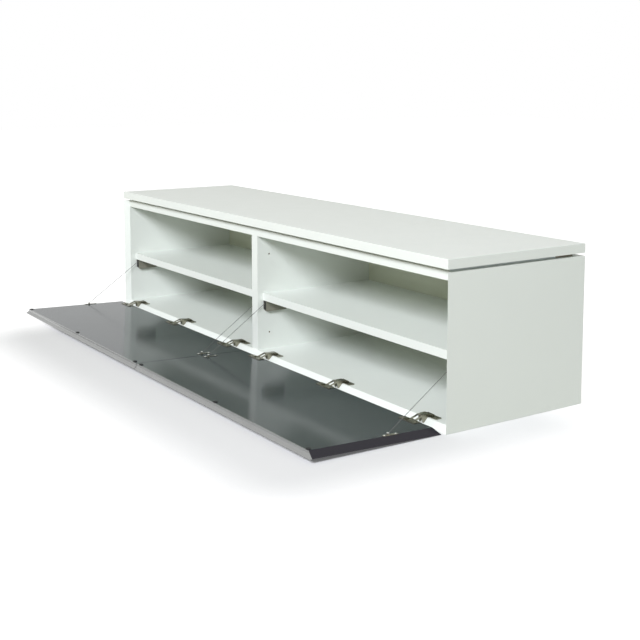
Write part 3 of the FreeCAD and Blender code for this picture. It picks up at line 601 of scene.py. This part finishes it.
@dataclass(frozen=True)
class Floor:
    """A pale floor that reads as white and keeps the console's shadow; metres.

    To the eye it glows more and more beyond a box round the console, so that it fades to white; the box sits
    forward and right of the console, so the glow paints light over the shadows behind it and at its left end.
    """

    half: float = 14.0
    gap: float = 0.0005
    tone: Triple = (0.82, 0.82, 0.83)
    drift: Triple = (0.81, 0.81, 0.82)
    bounce: Triple = (0.40, 0.395, 0.30)
    cloud_scale: float = 0.7
    cloud_contrast: float = 0.6
    glow: float = 1.6
    near_share: float = 0.065
    far_share: float = 0.62
    near_reach: float = 0.02
    far_reach: float = 0.34
    # The glow box, shifted off the console's real footprint so that painted light covers the shadows behind it and
    # to its left.
    glow_box_middle: Triple = (0.175, -0.34, 0.0)
    glow_box_half: Triple = (0.725, 0.32, 1.0)

    def _fade(self, sheet: NodeSheet) -> Socket:
        """Makes the share of glow, which rises with the distance from the glow box and paints light over the
        shadows outside it.

        Args:
            sheet: The material being wired.

        Returns:
            The share.
        """
        shifted = sheet.step("VectorMath", sheet.place(), {1: self.glow_box_middle},
                             operation="SUBTRACT")
        folded = sheet.step("VectorMath", shifted.outputs[0], operation="ABSOLUTE")
        beyond = sheet.step("VectorMath", folded.outputs[0], {1: self.glow_box_half},
                            operation="SUBTRACT")
        outside = sheet.step("VectorMath", beyond.outputs[0], {1: ORIGIN}, operation="MAXIMUM")
        reach = sheet.step("VectorMath", outside.outputs[0], operation="LENGTH")
        rise = sheet.step("MapRange", reach.outputs["Value"],
                          {"From Min": self.near_reach, "From Max": self.far_reach,
                           "To Min": self.near_share, "To Max": self.far_share},
                          interpolation_type="SMOOTHSTEP")
        return rise.outputs["Result"]

    def _paint(self) -> bpy.types.Material:
        """Makes the floor's paint: matt, with a glow that only the eye's rays meet.

        Returns:
            The material.
        """
        paint = bpy.data.materials.new("floor_paint")
        paint.use_nodes = True
        sheet = NodeSheet(paint.node_tree)
        seen = sheet.eye_rays()
        cloud = sheet.group(PATTERNS.mottle, Scale=self.cloud_scale, Contrast=self.cloud_contrast)
        tone = sheet.mix(cloud.outputs["Factor"], self.tone, self.drift)
        matt = sheet.step("BsdfDiffuse", sheet.mix(seen, self.bounce, tone))
        glow = sheet.add("Emission", {"Strength": self.glow})
        share = sheet.step("Math", seen, operation="MULTIPLY")
        both = sheet.step("MixShader", share.outputs[0])
        output = sheet.add("OutputMaterial")
        sheet.join(self._fade(sheet), share.inputs[1])
        sheet.join(matt.outputs[0], both.inputs[1])
        sheet.join(glow.outputs[0], both.inputs[2])
        sheet.join(both.outputs[0], output.inputs["Surface"])
        return paint

    def build(self) -> None:
        """Lays the floor just under the console and leaves it out of the object."""
        mesh = bmesh.new()
        bmesh.ops.create_grid(mesh, x_segments=2, y_segments=2, size=self.half)
        bmesh.ops.translate(mesh, vec=(0.0, 0.0, -self.gap), verts=mesh.verts)
        data = bpy.data.meshes.new("floor")
        mesh.to_mesh(data)
        mesh.free()
        data.materials.append(self._paint())
        floor = bpy.data.objects.new("floor", data)
        bpy.context.scene.collection.objects.link(floor)


@dataclass(frozen=True)
class Sky:
    """A world that is white to the eye, and dimmer and warmer as a light."""

    strength: float = 0.185
    tint: Triple = (1.0, 0.98, 0.66)
    seen_strength: float = 1.0
    seen_tint: Triple = (1.0, 1.0, 1.0)

    def build(self) -> None:
        """Makes the world."""
        world = bpy.data.worlds.new("studio")
        bpy.context.scene.world = world
        world.use_nodes = True
        sheet = NodeSheet(world.node_tree)
        seen = sheet.eye_rays()
        strength = sheet.step("MapRange", seen, {"To Min": self.strength,
                                                 "To Max": self.seen_strength})
        sky = sheet.step("Background", sheet.mix(seen, self.tint, self.seen_tint))
        output = sheet.add("OutputWorld")
        sheet.join(strength.outputs["Result"], sky.inputs["Strength"])
        sheet.join(sky.outputs[0], output.inputs["Surface"])


@dataclass(frozen=True)
class Studio:
    """The floor, the sky and three softboxes."""

    floor: Floor = Floor()
    sky: Sky = Sky()
    softboxes: tuple[Softbox, ...] = (
        Softbox("key_softbox", place=(4.4, -7.6, 5.5), target=(0.0, 0.0, 0.2), size=3.0,
                power=1275.0, tint=DAYLIGHT),
        Softbox("side_softbox", place=(5.0, 0.6, 1.0), target=(0.9, 0.0, 0.2), size=1.6,
                power=20.0, tint=SHADE),
        Softbox("rear_softbox", place=(-4.2, 4.6, 0.7), target=(0.0, 0.2, 0.2), size=2.0,
                power=180.0, tint=DAYLIGHT))

    def build(self) -> None:
        """Builds the studio and shows colours as they are."""
        bpy.context.scene.view_settings.view_transform = "Standard"
        self.floor.build()
        self.sky.build()
        for softbox in self.softboxes:
            softbox.hang()


class CadFinishes:
    """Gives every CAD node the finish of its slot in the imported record."""

    def build(self) -> None:
        """Dresses all the nodes."""
        for entry in frame["record"]["subparts"]:
            dress(frame["nodes"][entry["node"]], SLOT_FINISHES[entry["material_slot"]])
            LOG.info("node %s is %s", entry["node"], entry["material_slot"])


@dataclass(frozen=True)
class Head:
    """A tapered disc with a rounded rim, as on rivets and screws; sizes in millimetres."""

    radius: float = 2.0
    height: float = 0.8
    taper: float = 0.9
    rounding: float = 0.7
    round_steps: int = 3
    sides: int = 16

    def mesh(self) -> Mesh:
        """Makes the head.

        Returns:
            The head standing on the origin.
        """
        head = bmesh.new()
        tall = self.height * MM
        bmesh.ops.create_cone(head, cap_ends=True, segments=self.sides, radius1=self.radius * MM,
                              radius2=self.radius * self.taper * MM, depth=tall,
                              matrix=Matrix.Translation((0.0, 0.0, tall / 2)))
        rim = [edge for edge in head.edges if min(vert.co.z for vert in edge.verts) > tall / 2]
        bmesh.ops.bevel(head, geom=rim, offset=tall * self.rounding, segments=self.round_steps,
                        profile=0.5, affect="EDGES", material=-1)
        return head


def sink(mesh: Mesh, faces: list[bmesh.types.BMFace], depth: float) -> None:
    """Pushes flat faces down into a part and leaves a pocket with walls.

    Args:
        mesh: The part.
        faces: The faces to push, which become the pocket's floor.
        depth: How deep, in metres.
    """
    pushed = bmesh.ops.extrude_face_region(mesh, geom=faces)
    floor = [item for item in pushed["geom"] if isinstance(item, bmesh.types.BMVert)]
    bmesh.ops.translate(mesh, vec=(0.0, 0.0, -depth), verts=floor)
    bmesh.ops.delete(mesh, geom=faces, context="FACES")


@dataclass(frozen=True)
class CrossScrew:
    """The head of a screw with a cross recess; sizes in millimetres."""

    head: Head = Head(radius=3.6, height=1.6, taper=0.82, rounding=0.35, round_steps=2, sides=20)
    arm_half_width: float = 0.55
    arm_reach: float = 2.2
    recess: float = 0.9
    top_margin: float = 0.002

    def mesh(self) -> Mesh:
        """Makes the head with its recess.

        Returns:
            The head standing on the origin.
        """
        screw = self.head.mesh()
        for axis in (Vector((1.0, 0.0, 0.0)), Vector((0.0, 1.0, 0.0))):
            for offset in (self.arm_half_width, self.arm_reach):
                for side in (-1, 1):
                    whole = screw.verts[:] + screw.edges[:] + screw.faces[:]
                    bmesh.ops.bisect_plane(screw, geom=whole, plane_co=axis * offset * side * MM,
                                           plane_no=axis)
        sink(screw, [face for face in screw.faces if self._in_cross(face)], self.recess * MM)
        return screw

    def _in_cross(self, face: bmesh.types.BMFace) -> bool:
        """Tells whether a face lies in the cross on the head's flat top.

        Args:
            face: A face of the head.

        Returns:
            Whether the recess takes it.
        """
        middle = face.calc_center_median() / MM
        across, along = sorted((abs(middle.x), abs(middle.y)))
        return (middle.z > self.head.height - self.top_margin and across < self.arm_half_width
                and along < self.arm_reach)


@dataclass(frozen=True)
class Eye:
    """A bent ring of wire; sizes in millimetres."""

    radius: float = 3.2
    thickness: float = 0.6
    sides: int = 10
    steps: int = 24

    def mesh(self) -> Mesh:
        """Makes the ring.

        Returns:
            The ring round the Z axis.
        """
        ring = bmesh.new()
        stand = Matrix.Translation((self.radius * MM, 0.0, 0.0)) @ Matrix.Rotation(QUARTER_TURN, 4, "X")
        bmesh.ops.create_circle(ring, segments=self.sides, radius=self.thickness * MM, matrix=stand)
        bmesh.ops.spin(ring, geom=ring.verts[:] + ring.edges[:], cent=ORIGIN, axis=UP,
                       angle=FULL_TURN, steps=self.steps, use_merge=True)
        return ring


@dataclass(frozen=True)
class Cup:
    """The bare inside of a drilled hole, open towards its own Z; sizes in millimetres."""

    radius: float = 2.45
    depth: float = 9.6
    wall: float = 0.25
    sides: int = 20

    def mesh(self) -> Mesh:
        """Makes the cup.

        Returns:
            The cup with its rim at the origin.
        """
        cup = bmesh.new()
        deep = self.depth * MM
        bmesh.ops.create_cone(cup, cap_ends=True, segments=self.sides, radius1=self.radius * MM,
                              radius2=self.radius * MM, depth=deep,
                              matrix=Matrix.Translation((0.0, 0.0, -deep / 2)))
        mouth = [face for face in cup.faces if min(vert.co.z for vert in face.verts) > -deep / 2]
        bmesh.ops.inset_region(cup, faces=mouth, thickness=self.wall * MM, use_even_offset=True)
        sink(cup, mouth, deep - self.wall * MM)
        return cup


@dataclass(frozen=True)
class HingeHardware:
    """The screws and rivets of one flap's three hinges; sizes in millimetres."""

    hand: Hand
    bracket_half: float = 9.0
    screw_half_spacing: float = 23.0
    plate_screw_inward: float = 30.0
    leaf_face: float = 17.5
    leaf_screw_height: float = 28.5
    screw: CrossScrew = CrossScrew()
    rivet: Head = Head()
    cam: Head = Head(radius=1.7, height=0.9)
    cam_inward: float = 34.2
    cam_height: float = 20.5
    pivot_inward: float = 27.0
    pivot_height: float = 21.0

    def _centres(self) -> list[float]:
        """Works out where the three hinges stand, from the outer faces of their brackets.

        Returns:
            Places along the console from the middle outwards, in millimetres.
        """
        low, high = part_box(f"hinge_brackets_{self.hand.value}")
        first = low[0] / MM + self.bracket_half
        last = high[0] / MM - self.bracket_half
        return sorted((first, (first + last) / 2, last), key=abs)

    def build(self) -> None:
        """Builds the heads that the carcass and the flap carry."""
        name = self.hand.value
        centres = self._centres()
        beside = [centre + side * self.screw_half_spacing for centre in centres for side in (-1, 1)]
        plate_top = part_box(f"hinge_plates_{name}")[1][2] / MM
        plates = [upright(across, self.plate_screw_inward, plate_top) for across in beside]
        leaves = [on_flap(across, self.leaf_face, self.leaf_screw_height) for across in beside]
        cams = [upright(centre, self.cam_inward, self.cam_height) for centre in centres]
        pivots = [sideways(centre + side * self.bracket_half, self.pivot_inward,
                           self.pivot_height, side)
                  for centre in centres for side in (-1, 1)]
        riding_piece(f"plate_screws_{name}", stamped(self.screw.mesh(), plates), NICKEL, "carcass")
        riding_piece(f"leaf_screws_{name}", stamped(self.screw.mesh(), leaves), NICKEL, f"{name}_flap")
        # The cams are black plastic, and their black also paints the deep shade in the gap between hinge arm and
        # plate.
        riding_piece(f"hinge_cams_and_shade_{name}", stamped(self.cam.mesh(), cams), BLACK_PLASTIC, "carcass")
        riding_piece(f"pivot_rivets_{name}", stamped(self.rivet.mesh(), pivots), NICKEL, "carcass")


@dataclass(frozen=True)
class StayHardware:
    """The screws and eyes at both ends of one flap's two stay wires; sizes in millimetres."""

    hand: Hand
    screw: CrossScrew = CrossScrew(head=replace(CrossScrew.head, radius=2.6, height=1.2),
                                   arm_half_width=0.4, arm_reach=1.6, recess=0.7)
    screw_heights: tuple[float, float] = (123.0, 155.5)
    base_face: float = 16.7
    cap: Head = Head(radius=3.4, height=1.0)
    post_height: float = 145.0
    post_top: float = 21.2
    eye: Eye = Eye()
    eye_inward: float = 19.6
    guide: Eye = Eye(radius=1.7, thickness=0.5)
    guide_inward: float = 38.0
    guide_height: float = 154.0

    def _centres(self) -> list[float]:
        """Works out where the stays stand, from the middles of their wires.

        Returns:
            Places along the console from the middle outwards, in millimetres.
        """
        boxes = [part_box(f"stay_wire_{self.hand.value}_{where.value}") for where in Where]
        return [(low[0] + high[0]) / 2 / MM for low, high in boxes]

    def build(self) -> None:
        """Builds the screws, post caps and eyes on the flap and the guides on the housings."""
        name = self.hand.value
        flap = f"{name}_flap"
        centres = self._centres()
        screws = [on_flap(centre, self.base_face, height)
                  for centre in centres for height in self.screw_heights]
        caps = [on_flap(centre, self.post_top, self.post_height) for centre in centres]
        eyes = [on_flap(centre, self.eye_inward, self.post_height) for centre in centres]
        facing = Matrix.Rotation(QUARTER_TURN, 4, "X")
        guides = [upright(centre, self.guide_inward, self.guide_height) @ facing for centre in centres]
        riding_piece(f"fitting_screws_{name}", stamped(self.screw.mesh(), screws), GLINT_PAINTED_STEEL, flap)
        riding_piece(f"post_caps_{name}", stamped(self.cap.mesh(), caps), GLINT_PAINTED_STEEL, flap)
        riding_piece(f"wire_eyes_{name}", stamped(self.eye.mesh(), eyes), STEEL_WIRE, flap)
        riding_piece(f"wire_guides_{name}", stamped(self.guide.mesh(), guides), NICKEL, "carcass")


@dataclass(frozen=True)
class HoleLinings:
    """Bare board inside the system holes of the divider; sizes in millimetres."""

    inward: float = 58.0
    heights: tuple[float, float] = (66.0, 303.0)
    set_in: float = 0.15
    cup: Cup = Cup()

    def build(self) -> None:
        """Builds one cup in every hole."""
        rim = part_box("centre_divider")[1][0] / MM - self.set_in
        places = [sideways(side * rim, self.inward, height, side)
                  for side in (1, -1) for height in self.heights]
        riding_piece("hole_linings", stamped(self.cup.mesh(), places), RAW_BOARD, "carcass")


@dataclass(frozen=True)
class StayWire:
    """A taut stay wire laid from six strands round its middle line; metres."""

    hand: Hand
    where: Where
    radius: float = 0.8 * MM
    strands: int = 6
    strand_radius: float = 0.36 * MM
    strand_sides: int = 5
    rings: int = 90
    lay_length: float = 11.0 * MM
    end_inset: float = 0.56 * MM

    def _ends(self) -> tuple[Vector, Vector]:
        """Works out the wire's ends from the box of its CAD solid.

        Returns:
            The upper end and the lower end.
        """
        low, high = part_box(f"stay_wire_{self.hand.value}_{self.where.value}")
        across = (low[0] + high[0]) / 2
        top = Vector((across, high[1] - self.end_inset, high[2] - self.end_inset))
        foot = Vector((across, low[1] + self.end_inset, low[2] + self.end_inset))
        return top, foot

    def build(self) -> None:
        """Builds the strands and hides the wire's CAD solid that they stand in for."""
        top, foot = self._ends()
        run = foot - top
        mesh = bmesh.new()
        for strand in range(self.strands):
            self._strand(mesh, run.length, FULL_TURN / self.strands * strand)
        open_edges = [edge for edge in mesh.edges if edge.is_boundary]
        bmesh.ops.holes_fill(mesh, edges=open_edges, sides=0)
        place = Matrix.Translation(top) @ run.to_track_quat("Z", "X").to_matrix().to_4x4()
        bmesh.ops.transform(mesh, matrix=place, verts=mesh.verts)
        name = f"wire_strands_{self.hand.value}_{self.where.value}"
        wire = loose_piece(name, mesh, STEEL_WIRE)
        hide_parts(f"stay_wire_{self.hand.value}_{self.where.value}")
        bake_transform(wire)
        LOG.info("piece %s is %.0f mm long", name, run.length / MM)

    def _strand(self, mesh: Mesh, length: float, phase: float) -> None:
        """Adds one strand of the rope along Z.

        Args:
            mesh: The rope so far.
            length: How long the strand reaches, in metres.
            phase: Where it starts round the middle line, in radians.
        """
        aside = Matrix.Translation((self.radius - self.strand_radius, 0.0, 0.0))
        start = Matrix.Rotation(phase, 4, "Z") @ aside
        disc = bmesh.ops.create_circle(mesh, segments=self.strand_sides, radius=self.strand_radius,
                                       matrix=start)
        edges = list(dict.fromkeys(edge for vert in disc["verts"] for edge in vert.link_edges))
        bmesh.ops.spin(mesh, geom=disc["verts"] + edges, cent=ORIGIN, axis=UP,
                       dvec=(0.0, 0.0, length / self.rings),
                       angle=FULL_TURN * length / self.lay_length, steps=self.rings,
                       use_duplicate=False)


def main() -> None:
    """Builds the dressed console and the studio round it."""
    logging.basicConfig(level=logging.INFO)
    CadFinishes().build()
    for hand in Hand:
        HingeHardware(hand).build()
        StayHardware(hand).build()
        for where in Where:
            StayWire(hand, where).build()
    HoleLinings().build()
    Camera().build()
    Studio().build()


if __name__ == "__main__":
    main()
